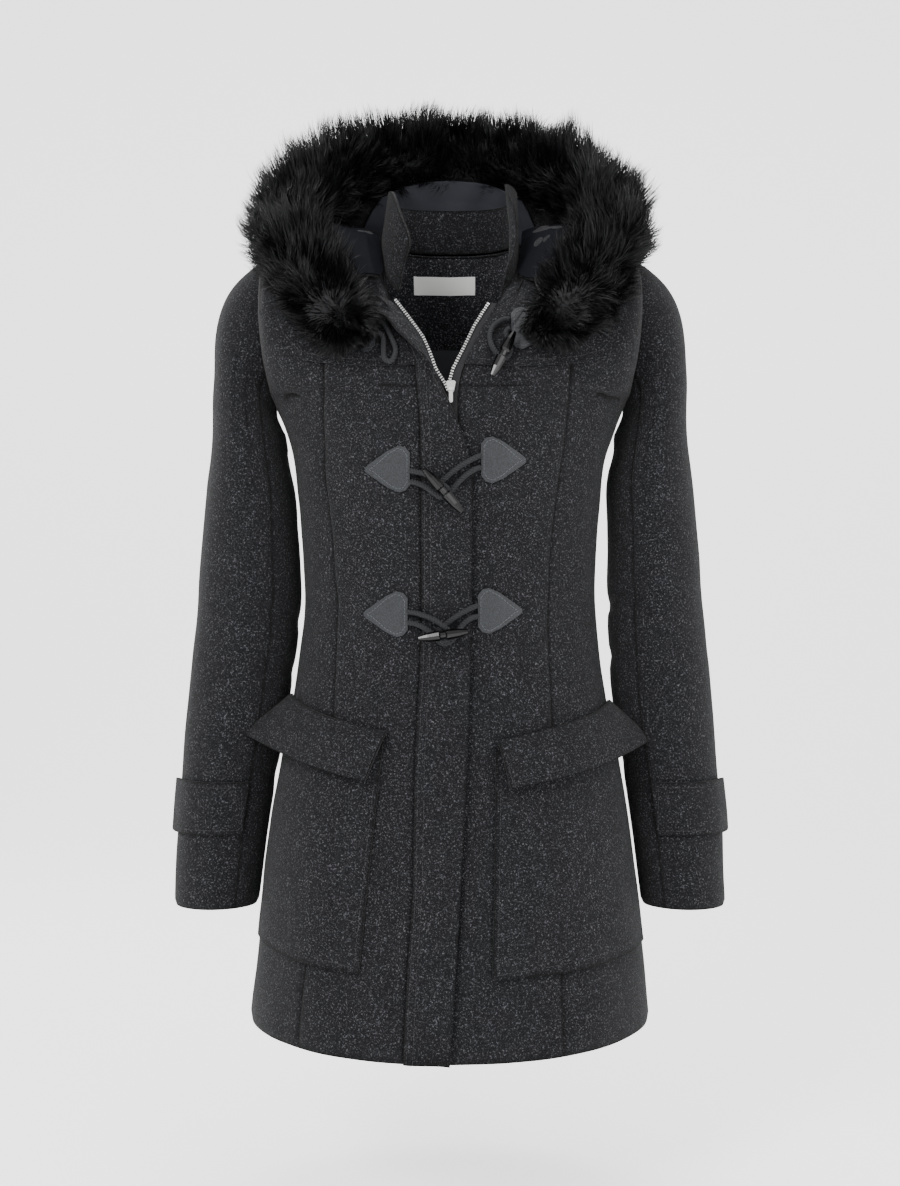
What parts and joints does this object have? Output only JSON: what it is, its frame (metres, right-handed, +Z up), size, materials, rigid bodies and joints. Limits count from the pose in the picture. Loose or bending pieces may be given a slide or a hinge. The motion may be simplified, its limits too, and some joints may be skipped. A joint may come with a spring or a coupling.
{
  "type": "duffle coat",
  "caption": "Long charcoal wool duffle coat with toggle fastenings, zip front, patch pockets with flaps and a fur-edged hood lying back.",
  "frame": {"origin": "inside the neck between the shoulders, level with the top of the shoulder seams, where the garment is held", "axes": "+Z up along the garment, -Y towards its front, +X towards the wearer's left"},
  "size_m": [0.5342, 0.3035, 0.9055],
  "materials": {
    "wool": "matt brushed charcoal wool with a soft nap",
    "fur": "long black pile with a soft sheen",
    "satin": "smooth dark grey lining with a low sheen",
    "leather": "pebbled dark slate leather, satin",
    "horn": "polished black",
    "rope": "round braided black cord",
    "zip_tape": "woven black tape with metal teeth",
    "nickel": "polished nickel",
    "label": "plain white woven label"
  },
  "bodies": {
    "coat": {"front_right_centre": "wool", "front_right_side": "wool", "front_left_centre": "wool", "front_left_side": "wool", "back_right_side": "wool", "back_left_side": "wool", "back_centre": "wool", "sleeve_right_upper": "wool", "sleeve_right_under": "wool", "cuff_tab_right": "wool", "sleeve_left_upper": "wool", "sleeve_left_under": "wool", "cuff_tab_left": "wool", "yoke_right": "wool", "yoke_left": "wool", "yoke_back": "wool", "front_placket": "wool", "collar_stand": "wool", "back_neck_facing": "wool", "pocket_right": "wool", "pocket_flap_right": "wool", "pocket_left": "wool", "pocket_flap_left": "wool", "hood_right": "wool", "hood_left": "wool", "zip_tape_right": "zip_tape", "zip_tape_left": "zip_tape", "zip_slider": "nickel", "back_lining": "satin", "neck_label": "label", "patch_right_1": "leather", "patch_right_2": "leather", "patch_right_3": "leather", "patch_left_1": "leather", "patch_left_2": "leather", "patch_left_3": "leather", "toggle_1": "horn", "toggle_2": "horn", "toggle_3": "horn", "cord_toggle_1": "rope", "cord_toggle_2": "rope", "cord_toggle_3": "rope", "cord_loop_1": "rope", "cord_loop_2": "rope", "cord_loop_3": "rope", "hood_fur": "fur", "hood_lining": "satin", "hood_lining_right": "satin", "hood_lining_left": "satin"},
    "zip_pull": {"zip_pull": "nickel"}
  },
  "joints": [
    {"name": "zip_pull_swing", "type": "hinge", "parent": "coat", "child": "zip_pull", "pos_m": [0.0008, -0.12769, -0.15488], "axis": [-1, 0, 0], "range_deg": [0, 120]}
  ]
}
